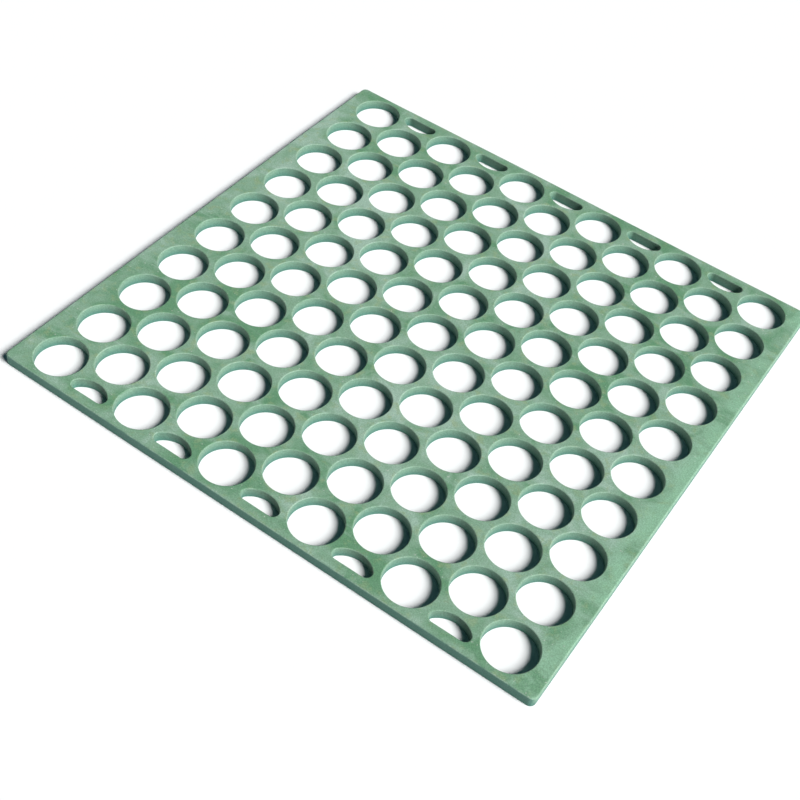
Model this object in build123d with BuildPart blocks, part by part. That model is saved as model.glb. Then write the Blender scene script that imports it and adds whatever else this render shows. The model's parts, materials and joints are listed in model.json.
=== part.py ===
from build123d import *
import os
from math import floor, sqrt

# Rubber grass mat: one moulded sheet with a staggered field of round holes for grass to grow through.
# It lies on its plain underside, on Z = 0, with its middle on the origin.
# The holes stand in columns along Y. Long and short columns take turns along X, half a pitch out of
# step, and each short column ends in a half hole at both edges.

# Driving dimensions, in millimetres
mat_length = 500.0  # along X, across the columns
mat_width = 500.0  # along Y, along the columns
mat_thickness = 10.0
outline_corner_radius = 5.0  # the four corners in plan
top_edge_radius = 1.5  # the rounded rim of the top face
hole_diameter = 43.5
web = 6.0  # least rubber between two holes
half_hole_land = 9.0  # rubber between a half hole's flat and the edge
half_hole_corner_radius = 5.0  # where a half hole's flat meets its arc

# Hole pattern: a regular triangular grid, with as many holes as leave half a web at each edge
hole_radius = hole_diameter / 2
pitch = hole_diameter + web
column_spacing = pitch * sqrt(3) / 2
long_rows = floor(mat_width / pitch)
short_rows = long_rows - 1
short_columns = floor((mat_length - pitch) / (2 * column_spacing))
long_columns = short_columns + 1

# Half holes: the next circle of a short column, cut by a flat that leaves a border at the edge
half_hole_centre = long_rows * pitch / 2
half_hole_flat = mat_width / 2 - half_hole_land

# One half hole, about the centre of its circle, with its flat towards +Y
with BuildSketch() as half_hole:
    Circle(hole_radius)
    split(bisect_by=Plane.XZ.offset(half_hole_centre - half_hole_flat))
    fillet(half_hole.vertices().group_by(Axis.Y)[-1], half_hole_corner_radius)

# The half holes of both edges
with BuildSketch() as half_holes:
    with Locations((0, half_hole_centre)):
        with GridLocations(2 * column_spacing, pitch, short_columns, 1):
            add(half_hole.sketch)
    mirror(about=Plane.XZ)

# The mat: its plan with all the holes, raised to its thickness and rounded along its top rim
with BuildPart() as grass_mat:
    with BuildSketch() as plan:
        RectangleRounded(mat_length, mat_width, outline_corner_radius)
        with GridLocations(2 * column_spacing, pitch, long_columns, long_rows):
            Circle(hole_radius, mode=Mode.SUBTRACT)
        with GridLocations(2 * column_spacing, pitch, short_columns, short_rows):
            Circle(hole_radius, mode=Mode.SUBTRACT)
        add(half_holes.sketch, mode=Mode.SUBTRACT)
    extrude(amount=mat_thickness)
    top_face = grass_mat.faces().sort_by(Axis.Z)[-1]
    fillet(top_face.outer_wire().edges(), top_edge_radius)

os.makedirs("parts", exist_ok=True)
grass_mat.part.label = "grass_mat"
export_step(grass_mat.part, "parts/grass_mat.step")
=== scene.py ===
"""Rubber grass mat: a moulded green rubber sheet with a staggered field of round holes.

The mat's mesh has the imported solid's sizes and adds what moulded rubber has: soft rims round the holes,
a faintly uneven top face, and a matt finish with mottling, pale bloom, dust and fine grain.
Lengths are in metres. The hole columns run along Y, and the mat lies on Z = 0.
"""
import json
import math

import bpy
import numpy as np
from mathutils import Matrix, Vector
from mathutils.geometry import delaunay_2d_cdt


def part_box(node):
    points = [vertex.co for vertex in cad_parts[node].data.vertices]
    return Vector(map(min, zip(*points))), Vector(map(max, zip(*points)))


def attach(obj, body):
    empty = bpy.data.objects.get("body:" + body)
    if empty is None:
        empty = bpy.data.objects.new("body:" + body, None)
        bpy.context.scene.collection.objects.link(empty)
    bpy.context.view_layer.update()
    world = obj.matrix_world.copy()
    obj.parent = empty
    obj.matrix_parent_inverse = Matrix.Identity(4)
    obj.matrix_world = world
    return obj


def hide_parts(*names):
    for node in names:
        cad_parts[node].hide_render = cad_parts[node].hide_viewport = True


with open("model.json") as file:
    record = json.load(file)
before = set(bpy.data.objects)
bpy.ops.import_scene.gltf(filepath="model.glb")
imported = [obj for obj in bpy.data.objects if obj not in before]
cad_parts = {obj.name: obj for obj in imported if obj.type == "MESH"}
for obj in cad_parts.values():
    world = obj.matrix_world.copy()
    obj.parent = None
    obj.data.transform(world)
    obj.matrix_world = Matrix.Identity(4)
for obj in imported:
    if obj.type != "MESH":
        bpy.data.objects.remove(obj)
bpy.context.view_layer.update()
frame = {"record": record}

# Sizes from the frame
NODE = "grass_mat"
high_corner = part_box(NODE)[1]
HALF_LENGTH = high_corner.x
HALF_WIDTH = high_corner.y
THICKNESS = high_corner.z
stated_holes = [mount for mount in frame["record"]["mounts"] if mount["kind"] == "bore"]
HOLE_RADIUS = stated_holes[0]["dims"]["r_mm"] / 1000

# Hole field, as in the solid: a triangular grid, with half holes at both ends of its short columns
WEB = 0.006  # least rubber between two holes
PITCH = 2 * HOLE_RADIUS + WEB
COLUMN_SPACING = PITCH * math.sqrt(3) / 2
LONG_ROWS = math.floor(2 * HALF_WIDTH / PITCH)
SHORT_COLUMNS = math.floor((2 * HALF_LENGTH - PITCH) / (2 * COLUMN_SPACING))
HALF_HOLE_LAND = 0.009  # rubber between a half hole's flat and the edge
HALF_HOLE_CORNER = 0.005  # radius where a half hole's flat meets its arc
OUTLINE_CORNER = 0.005  # radius of the mat's corners in plan

# Moulded edges: radii of the rims, and how finely the rims and the loops are divided
OUTER_RIM = 0.0015
HOLE_RIM = 0.0011
UNDER_RIM = 0.0004
RIM_STEPS = 5
UNDER_STEPS = 2
HOLE_SIDES = 60
TURN_STEP = 2 * math.pi / HOLE_SIDES
RUN_STEP = 0.008  # longest step along a straight run
SAME_POINT = 1e-7  # points closer than this count as one

# Slow waves of the top face: height, and waves per metre along X and Y
TOP_WAVES = ((0.00016, 3.1, 1.7), (0.00011, -2.3, 4.9), (0.00006, 7.9, -6.1))

# Greens of the rubber, and the dust on it
WALL_GREEN = (0.190, 0.322, 0.230, 1)
# The darkest green is painted shade low on the walls and on the end faces, and also colours random wall
# patches
PATCH_AND_PAINTED_SHADE_GREEN = (0.068, 0.186, 0.146, 1)
DEEP_GREEN = (0.098, 0.228, 0.124, 1)
MID_GREEN = (0.184, 0.308, 0.212, 1)
LIGHTER_SIDE_GREEN = (0.215, 0.402, 0.262, 1)
PALE_BLOOM = (0.278, 0.396, 0.318, 1)
OLIVE_BLOOM = (0.225, 0.305, 0.165, 1)
WORN_RIM = (0.285, 0.400, 0.315, 1)
DUST = (0.42, 0.46, 0.40, 1)

# Noises of the rubber: scale in cells per metre, detail, roughness and distortion
BROAD_NOISE = (8.0, 3.0, 0.55, 0.4)
PATCHY_NOISE = (34.0, 4.0, 0.6, 0.6)
CLOUDY_NOISE = (130.0, 3.0, 0.6)
STREAKY_NOISE = (16.0, 4.0, 0.65)
GRAIN_NOISE = (900.0, 2.0, 0.6)
FLECK_NOISE = (420.0, 1.0, 0.5)
STREAK_TURN = (0, 0, 0.6)  # radians
STREAK_SQUEEZE = (1, 7, 1)
BROAD_SHARE = 0.4  # of the mottling
PATCHY_SHARE = 0.6

# Fades of the rubber's layers: a range of a noise, a place or a slope, and then the layer's strength at
# each end of that range where it doesn't go from 0 to 1. Places are given as distances in from the edge.
MID_FADE = (0.39, 0.51)
BLOOM_FADE = (0.50, 0.63)
STREAK_FADE = (0.54, 0.70, 0.0, 0.45)
OLIVE_FADE = (0.52, 0.70, 0.0, 0.55)
DUST_FADE = (0.70, 0.78, 0.0, 0.6)
END_BAND = (HALF_WIDTH - 0.035, HALF_WIDTH - 0.007)
END_PATCHES = (0.35, 0.6, 0.75, 0.25)
END_EDGE = (HALF_WIDTH - 0.010, HALF_WIDTH - 0.002, 1.0, 0.4)
SIDE_BAND = (HALF_LENGTH - 0.025, HALF_LENGTH - 0.005)
SIDE_PATCHES = (0.4, 0.6, 0.15, 0.85)
# Painted shade: the walls grow darker from near the top down to the ground
PAINTED_SHADE_HEIGHT = (0.0, THICKNESS - 0.001)
WALL_PATCHES = (0.4, 0.65, 0.0, 0.3)
# Painted shade on the outer faces of both ends
END_FACE_PAINTED_SHADE = (HALF_WIDTH - 0.0025, HALF_WIDTH - 0.0005, 0.0, 0.8)
TOP_SLOPE = (0.1, 0.95)
TOP_CLOUDS = (0.3, 0.62, 0.85, 1.0)
RIM_START = (0.25, 0.6)
RIM_END = (0.97, 0.75)
RIM_WEAR = (0.35, 0.6, 0.1, 0.6)
SPECKLE = (0.3, 0.7, 0.82, 1.16)

# Sheen and relief of the rubber: roughness from walls to top and through the clouds, and the depth and
# strength of each bump
WALL_TO_TOP_ROUGHNESS = (0.0, 1.0, 0.58, 0.8)
CLOUD_ROUGHNESS = (0.3, 0.7, -0.06, 0.06)
RUBBER_SPECULAR = 0.2
PATCHY_BUMP = (0.0006, 0.35)
CLOUDY_BUMP = (0.0003, 0.35)
GRAIN_BUMP = (0.00012, 0.5)

# The photograph's camera, fitted to its hole field
CAMERA_PLACE = (0.34377, -0.71551, 0.79165)
CAMERA_TURN_DEGREES = (41.7927, -6.8225, 34.4741)
CAMERA_LENS = 58.4  # millimetres, as is the sensor's width
SENSOR = 36.0

# Studio: a key light with its angles in degrees, a dim sky above a pale horizon, and a pale floor and wall
KEY_AZIMUTH = -2.0  # from +X towards +Y
KEY_ELEVATION = 44.0
KEY_SOFTNESS = 26.0  # how wide the light looks from the mat
KEY_STRENGTH = 5.62
FILL_COLOUR = (0.008, 0.036, 0.046, 1)
HORIZON_COLOUR = (1.0, 1.0, 1.0, 1)
HORIZON_FADE = (0.04, 0.10)  # sines of the elevations where the horizon starts and ends its fade
FLOOR_SIZE = 40.0
FLOOR_GREY = (0.8, 0.8, 0.8, 1)
FLOOR_ROUGHNESS = 0.9
FLOOR_SPECULAR = 0.1
BACKDROP_HEIGHT = 12.0
BACKDROP_SIDES = 64


def arc(centre, radius, first, last, steps):
    """Points from one angle to another round a centre, and the way out from the centre at each."""
    angles = np.linspace(first, last, steps + 1)
    ways = np.stack([np.cos(angles), np.sin(angles)], 1)
    return np.array(centre) + radius * ways, ways


def joined(arcs):
    """A closed loop of arcs, anticlockwise, with points along the straight runs between them."""
    pieces = []
    for centre, radius, first, last in arcs:
        pieces.append(arc(centre, radius, first, last, math.ceil((last - first) / TURN_STEP)))
    points, ways = [], []
    for (here, out), (there, _) in zip(pieces, pieces[1:] + pieces[:1]):
        run = there[0] - here[-1]
        length = np.linalg.norm(run)
        arcs_meet = length < SAME_POINT
        kept = len(here) - 1 if arcs_meet else len(here)
        steps = 0 if arcs_meet else math.ceil(length / RUN_STEP)
        points.append(here[:kept])
        ways.append(out[:kept])
        for step in range(1, steps):
            points.append((here[-1] + run * step / steps)[None])
            ways.append(out[-1:])
    return np.concatenate(points), np.concatenate(ways)


def outline():
    """The mat's outer loop."""
    x = HALF_LENGTH - OUTLINE_CORNER
    y = HALF_WIDTH - OUTLINE_CORNER
    quarter = math.pi / 2
    centres = ((x, y), (-x, y), (-x, -y), (x, -y))
    return joined([(centre, OUTLINE_CORNER, turn * quarter, (turn + 1) * quarter)
                   for turn, centre in enumerate(centres)])


def round_hole(x, y):
    """The loop of a full hole, anticlockwise."""
    points, ways = arc((x, y), HOLE_RADIUS, 0.0, 2 * math.pi, HOLE_SIDES)
    return points[:-1], ways[:-1]


def half_hole(x, end):
    """The loop of a half hole at the +Y end (end 1) or the -Y end (end -1)."""
    centre = LONG_ROWS * PITCH / 2
    flat = HALF_WIDTH - HALF_HOLE_LAND
    corner_y = flat - HALF_HOLE_CORNER
    corner_x = math.sqrt((HOLE_RADIUS - HALF_HOLE_CORNER) ** 2 - (corner_y - centre) ** 2)
    turn = math.atan2(corner_y - centre, corner_x)
    points, ways = joined([
        ((0, centre), HOLE_RADIUS, math.pi - turn, 2 * math.pi + turn),
        ((corner_x, corner_y), HALF_HOLE_CORNER, turn, math.pi / 2),
        ((-corner_x, corner_y), HALF_HOLE_CORNER, math.pi / 2, math.pi - turn),
    ])
    return points * end + (x, 0), ways * end


def hole_loops():
    """Every hole of the field, column by column."""
    loops = []
    for column in range(-SHORT_COLUMNS, SHORT_COLUMNS + 1):
        x = column * COLUMN_SPACING
        is_short = (column - SHORT_COLUMNS) % 2 == 1
        rows = LONG_ROWS - 1 if is_short else LONG_ROWS
        for row in range(rows):
            loops.append(round_hole(x, (row - (rows - 1) / 2) * PITCH))
        if is_short:
            loops.append(half_hole(x, 1))
            loops.append(half_hole(x, -1))
    return loops


def wall_section(rim):
    """A wall from the underside to the top: depth into the rubber, height and tilt of each ring."""
    section = []
    for tilt in np.linspace(-math.pi / 2, 0, UNDER_STEPS + 1):
        section.append((UNDER_RIM * (1 - math.cos(tilt)), UNDER_RIM * (1 + math.sin(tilt)), tilt))
    for tilt in np.linspace(0, math.pi / 2, RIM_STEPS + 1):
        section.append((rim * (1 - math.cos(tilt)), THICKNESS - rim * (1 - math.sin(tilt)), tilt))
    return section


def top_wave(points):
    """How far the top face stands above or below its plane at each point."""
    wave = np.zeros(len(points))
    for height, along_x, along_y in TOP_WAVES:
        wave += height * np.sin(2 * math.pi * (points[:, 0] * along_x + points[:, 1] * along_y))
    return wave


def wall_rings(points, ways, is_outer):
    """The places and normals of a loop's wall, ring by ring from the underside to the top."""
    into = -ways if is_outer else ways
    places, normals = [], []
    for depth, height, tilt in wall_section(OUTER_RIM if is_outer else HOLE_RIM):
        ring = points + into * depth
        lift = top_wave(ring) * height / THICKNESS
        places.append(np.column_stack([ring, height + lift]))
        normals.append(np.column_stack([-into * math.cos(tilt), np.full(len(ring), math.sin(tilt))]))
    return places, normals


def wall_faces(first, size, ring_count, is_outer):
    """The faces between a wall's rings of that size, whose points are numbered from first."""
    faces = []
    for level in range(ring_count - 1):
        low = first + level * size
        high = low + size
        for i in range(size):
            j = (i + 1) % size
            face = (low + i, low + j, high + j, high + i)
            faces.append(face if is_outer else face[::-1])
    return faces


def flat_triangles(rings):
    """Triangles that fill the flat face between the outer ring and the hole rings."""
    points = [Vector(point) for ring in rings for point in ring]
    owner = [number for number, ring in enumerate(rings) for _ in ring]
    edges = []
    first = 0
    for ring in rings:
        edges += [(first + i, first + (i + 1) % len(ring)) for i in range(len(ring))]
        first += len(ring)
    fill_everything = 0
    _, _, faces, source, _, _ = delaunay_2d_cdt(points, edges, [], fill_everything, SAME_POINT)
    triangles = []
    for face in faces:
        corners = [source[corner][0] for corner in face]
        owners = {owner[corner] for corner in corners}
        inside_a_hole = len(owners) == 1 and owners != {0}
        if not inside_a_hole:
            triangles.append(corners)
    return triangles


def mat_mesh():
    """The whole mat: a rounded wall round every loop, and the flat faces between the walls."""
    places, normals, faces = [], [], []
    under_points, top_points, top_rings = [], [], []
    first = 0
    for number, (points, ways) in enumerate([outline()] + hole_loops()):
        is_outer = number == 0
        size = len(points)
        rings, ring_normals = wall_rings(points, ways, is_outer)
        top = first + (len(rings) - 1) * size
        places += rings
        normals += ring_normals
        faces += wall_faces(first, size, len(rings), is_outer)
        under_points += range(first, first + size)
        top_points += range(top, top + size)
        top_rings.append(rings[-1][:, :2])
        first = top + size
    for triangle in flat_triangles(top_rings):
        faces.append([top_points[corner] for corner in triangle])
        faces.append([under_points[corner] for corner in reversed(triangle)])
    mesh = bpy.data.meshes.new("grass_mat_mesh")
    mesh.from_pydata(np.concatenate(places).tolist(), [], faces)
    mesh.shade_smooth()
    mesh.normals_split_custom_set_from_vertices(np.concatenate(normals).tolist())
    mesh.validate()
    return mesh


class Shader:
    """The node tree of a material or a world, with short ways to add nodes and join them."""

    def __init__(self, owner):
        owner.use_nodes = True
        self.tree = owner.node_tree
        self.tree.nodes.clear()

    def feed(self, socket, value):
        """Joins a socket to another node's output, or sets its own value."""
        if isinstance(value, bpy.types.NodeSocket):
            self.tree.links.new(value, socket)
        else:
            socket.default_value = value

    def add(self, kind, inputs=(), **settings):
        """A new node with its settings made and its named inputs fed."""
        node = self.tree.nodes.new(kind)
        for name, value in settings.items():
            setattr(node, name, value)
        for name, value in dict(inputs).items():
            self.feed(node.inputs[name], value)
        return node

    def noise(self, place, scale, detail, roughness, distortion=0.0):
        """Noise between 0 and 1 at a place."""
        return self.add("ShaderNodeTexNoise", {
            "Vector": place, "Scale": scale, "Detail": detail, "Roughness": roughness,
            "Distortion": distortion}).outputs["Fac"]

    def spread(self, value, low, high, to_low=0.0, to_high=1.0):
        """Maps a value from one range to another, smoothly and within its ends."""
        return self.add("ShaderNodeMapRange", {
            "Value": value, "From Min": low, "From Max": high, "To Min": to_low, "To Max": to_high},
            interpolation_type="SMOOTHSTEP").outputs["Result"]

    def calculate(self, operation, first, second=0.0):
        """The result of a sum, a product or another operation on one or two values."""
        node = self.add("ShaderNodeMath", operation=operation)
        self.feed(node.inputs[0], first)
        self.feed(node.inputs[1], second)
        return node.outputs["Value"]

    def mix(self, amount, first, second, blend="MIX"):
        """A colour between two others, or another blend of them."""
        node = self.add("ShaderNodeMix", data_type="RGBA", blend_type=blend)
        colours = [socket for socket in node.inputs if socket.type == "RGBA"]
        self.feed(node.inputs["Factor"], amount)
        self.feed(colours[0], first)
        self.feed(colours[1], second)
        return next(socket for socket in node.outputs if socket.type == "RGBA")

    def bump(self, height, distance, strength, normal=None):
        """A normal bent by a height, on top of an earlier bump where there is one."""
        node = self.add("ShaderNodeBump", {"Height": height, "Distance": distance, "Strength": strength})
        if normal:
            self.feed(node.inputs["Normal"], normal)
        return node.outputs["Normal"]


def top_colour(s, along_x, from_middle, noises):
    """Mottled green with bloom and dust, deeper along both ends and lighter along the +X side."""
    broad = s.calculate("MULTIPLY", noises["broad"], BROAD_SHARE)
    patchy = s.calculate("MULTIPLY", noises["patchy"], PATCHY_SHARE)
    mottle = s.calculate("ADD", broad, patchy)
    colour = s.mix(s.spread(mottle, *MID_FADE), DEEP_GREEN, MID_GREEN)
    colour = s.mix(s.spread(mottle, *BLOOM_FADE), colour, PALE_BLOOM)
    colour = s.mix(s.spread(noises["streaky"], *STREAK_FADE), colour, PALE_BLOOM)
    colour = s.mix(s.spread(noises["cloudy"], *OLIVE_FADE), colour, OLIVE_BLOOM)

    deeper = s.calculate("MULTIPLY", s.spread(from_middle, *END_BAND), s.spread(from_middle, *END_EDGE))
    deeper = s.calculate("MULTIPLY", deeper, s.spread(noises["patchy"], *END_PATCHES))
    colour = s.mix(deeper, colour, DEEP_GREEN)
    # Lighter green along the +X side
    lighter_side = s.spread(along_x, *SIDE_BAND)
    lighter_side = s.calculate("MULTIPLY", lighter_side, s.spread(noises["patchy"], *SIDE_PATCHES))
    colour = s.mix(lighter_side, colour, LIGHTER_SIDE_GREEN)
    return s.mix(s.spread(noises["flecks"], *DUST_FADE), colour, DUST)


def wall_colour(s, height, from_middle, noises):
    """Plainer green with darker random patches, and painted shade: darker towards the ground and on the
    outer faces of both ends.
    """
    # Painted shade: darker towards the ground
    colour = s.mix(s.spread(height, *PAINTED_SHADE_HEIGHT), PATCH_AND_PAINTED_SHADE_GREEN, WALL_GREEN)
    colour = s.mix(s.spread(noises["patchy"], *WALL_PATCHES), colour, PATCH_AND_PAINTED_SHADE_GREEN)
    # Painted shade on the outer faces of both ends
    return s.mix(s.spread(from_middle, *END_FACE_PAINTED_SHADE), colour, PATCH_AND_PAINTED_SHADE_GREEN)


def rubber():
    """Matt green rubber: mottled and dusty on top, plainer on the walls with painted shade low on them and
    on the end faces, and worn paler along the rims.
    """
    material = bpy.data.materials.new("green_rubber")
    s = Shader(material)
    coordinates = s.add("ShaderNodeTexCoord")
    place = coordinates.outputs["Object"]
    spot = s.add("ShaderNodeSeparateXYZ", {"Vector": place})
    upward = s.add("ShaderNodeSeparateXYZ", {"Vector": coordinates.outputs["Normal"]}).outputs["Z"]
    from_middle = s.calculate("ABSOLUTE", spot.outputs["Y"])
    drawn_out = s.add("ShaderNodeMapping", {
        "Vector": place, "Rotation": STREAK_TURN, "Scale": STREAK_SQUEEZE}).outputs["Vector"]
    noises = {
        "broad": s.noise(place, *BROAD_NOISE),
        "patchy": s.noise(place, *PATCHY_NOISE),
        "cloudy": s.noise(place, *CLOUDY_NOISE),
        "streaky": s.noise(drawn_out, *STREAKY_NOISE),
        "grain": s.noise(place, *GRAIN_NOISE),
        "flecks": s.noise(place, *FLECK_NOISE),
    }

    walls = wall_colour(s, spot.outputs["Z"], from_middle, noises)
    top = top_colour(s, spot.outputs["X"], from_middle, noises)
    bloom = s.calculate("MULTIPLY", s.spread(upward, *TOP_SLOPE), s.spread(noises["cloudy"], *TOP_CLOUDS))
    colour = s.mix(bloom, walls, top)
    wear = s.calculate("MULTIPLY", s.spread(upward, *RIM_START), s.spread(upward, *RIM_END))
    wear = s.calculate("MULTIPLY", wear, s.spread(noises["cloudy"], *RIM_WEAR))
    colour = s.mix(wear, colour, WORN_RIM)
    speckle = s.spread(noises["grain"], *SPECKLE)
    speckle = s.add("ShaderNodeCombineColor", {"Red": speckle, "Green": speckle, "Blue": speckle})
    colour = s.mix(1.0, colour, speckle.outputs["Color"], "MULTIPLY")

    roughness = s.spread(bloom, *WALL_TO_TOP_ROUGHNESS)
    roughness = s.calculate("ADD", roughness, s.spread(noises["cloudy"], *CLOUD_ROUGHNESS))
    relief = s.bump(noises["patchy"], *PATCHY_BUMP)
    relief = s.bump(noises["cloudy"], *CLOUDY_BUMP, relief)
    relief = s.bump(noises["grain"], *GRAIN_BUMP, relief)

    shader = s.add("ShaderNodeBsdfPrincipled", {
        "Base Color": colour, "Roughness": roughness, "Normal": relief,
        "Specular IOR Level": RUBBER_SPECULAR})
    s.add("ShaderNodeOutputMaterial", {"Surface": shader.outputs["BSDF"]})
    return material


def floor_paint():
    """Pale matt floor."""
    material = bpy.data.materials.new("pale_floor")
    s = Shader(material)
    shader = s.add("ShaderNodeBsdfPrincipled", {
        "Base Color": FLOOR_GREY, "Roughness": FLOOR_ROUGHNESS, "Specular IOR Level": FLOOR_SPECULAR})
    s.add("ShaderNodeOutputMaterial", {"Surface": shader.outputs["BSDF"]})
    return material


def backdrop_paint():
    """Even white that needs no light and isn't used as a lamp."""
    material = bpy.data.materials.new("pale_backdrop")
    material.cycles.emission_sampling = "NONE"
    s = Shader(material)
    shader = s.add("ShaderNodeEmission", {"Color": HORIZON_COLOUR})
    s.add("ShaderNodeOutputMaterial", {"Surface": shader.outputs["Emission"]})
    return material


def put(name, data):
    """A new object in the scene."""
    thing = bpy.data.objects.new(name, data)
    bpy.context.scene.collection.objects.link(thing)
    return thing


def make_mat():
    """The mat itself, in place of its solid."""
    mat = put("rubber_mat", mat_mesh())
    mat.data.materials.append(rubber())
    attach(mat, "root")
    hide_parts(NODE)


def make_floor():
    """A wide flat floor under the mat."""
    half = FLOOR_SIZE / 2
    corners = [(-half, -half, 0), (half, -half, 0), (half, half, 0), (-half, half, 0)]
    mesh = bpy.data.meshes.new("floor_mesh")
    mesh.from_pydata(corners, [], [(0, 1, 2, 3)])
    mesh.materials.append(floor_paint())
    put("floor", mesh)


def make_backdrop():
    """A pale round wall behind the floor, for low views. It gives no light and throws no shadow."""
    turns = np.linspace(0, 2 * math.pi, BACKDROP_SIDES, endpoint=False)
    ring = np.column_stack([np.cos(turns), np.sin(turns)]) * FLOOR_SIZE / 2
    corners = [(x, y, height) for height in (0, BACKDROP_HEIGHT) for x, y in ring]
    faces = wall_faces(first=0, size=BACKDROP_SIDES, ring_count=2, is_outer=False)
    mesh = bpy.data.meshes.new("backdrop_mesh")
    mesh.from_pydata(corners, [], faces)
    mesh.materials.append(backdrop_paint())
    backdrop = put("backdrop", mesh)
    backdrop.visible_diffuse = False
    backdrop.visible_glossy = False
    backdrop.visible_transmission = False
    backdrop.visible_shadow = False


def make_key_light():
    """A wide soft light from the +X side."""
    light = bpy.data.lights.new("key", "SUN")
    light.energy = KEY_STRENGTH
    light.angle = math.radians(KEY_SOFTNESS)
    azimuth = math.radians(KEY_AZIMUTH)
    elevation = math.radians(KEY_ELEVATION)
    level = math.cos(elevation)
    towards = Vector((level * math.cos(azimuth), level * math.sin(azimuth), math.sin(elevation)))
    put("key", light).rotation_euler = towards.to_track_quat("Z", "Y").to_euler()


def make_sky():
    """A faint cool fill from above a pale horizon."""
    world = bpy.data.worlds.new("studio")
    s = Shader(world)
    direction = s.add("ShaderNodeTexCoord").outputs["Generated"]
    height = s.add("ShaderNodeSeparateXYZ", {"Vector": direction}).outputs["Z"]
    colour = s.mix(s.spread(height, *HORIZON_FADE), HORIZON_COLOUR, FILL_COLOUR)
    background = s.add("ShaderNodeBackground", {"Color": colour})
    s.add("ShaderNodeOutputWorld", {"Surface": background.outputs["Background"]})
    bpy.context.scene.world = world


def make_camera():
    """The camera, at the photograph's viewing angle."""
    camera = bpy.data.cameras.new("camera")
    camera.sensor_width = SENSOR
    camera.lens = CAMERA_LENS
    holder = put("camera", camera)
    holder.location = CAMERA_PLACE
    holder.rotation_euler = [math.radians(angle) for angle in CAMERA_TURN_DEGREES]
    bpy.context.scene.camera = holder


make_mat()
make_floor()
make_backdrop()
make_key_light()
make_sky()
make_camera()
bpy.context.scene.view_settings.view_transform = "Standard"
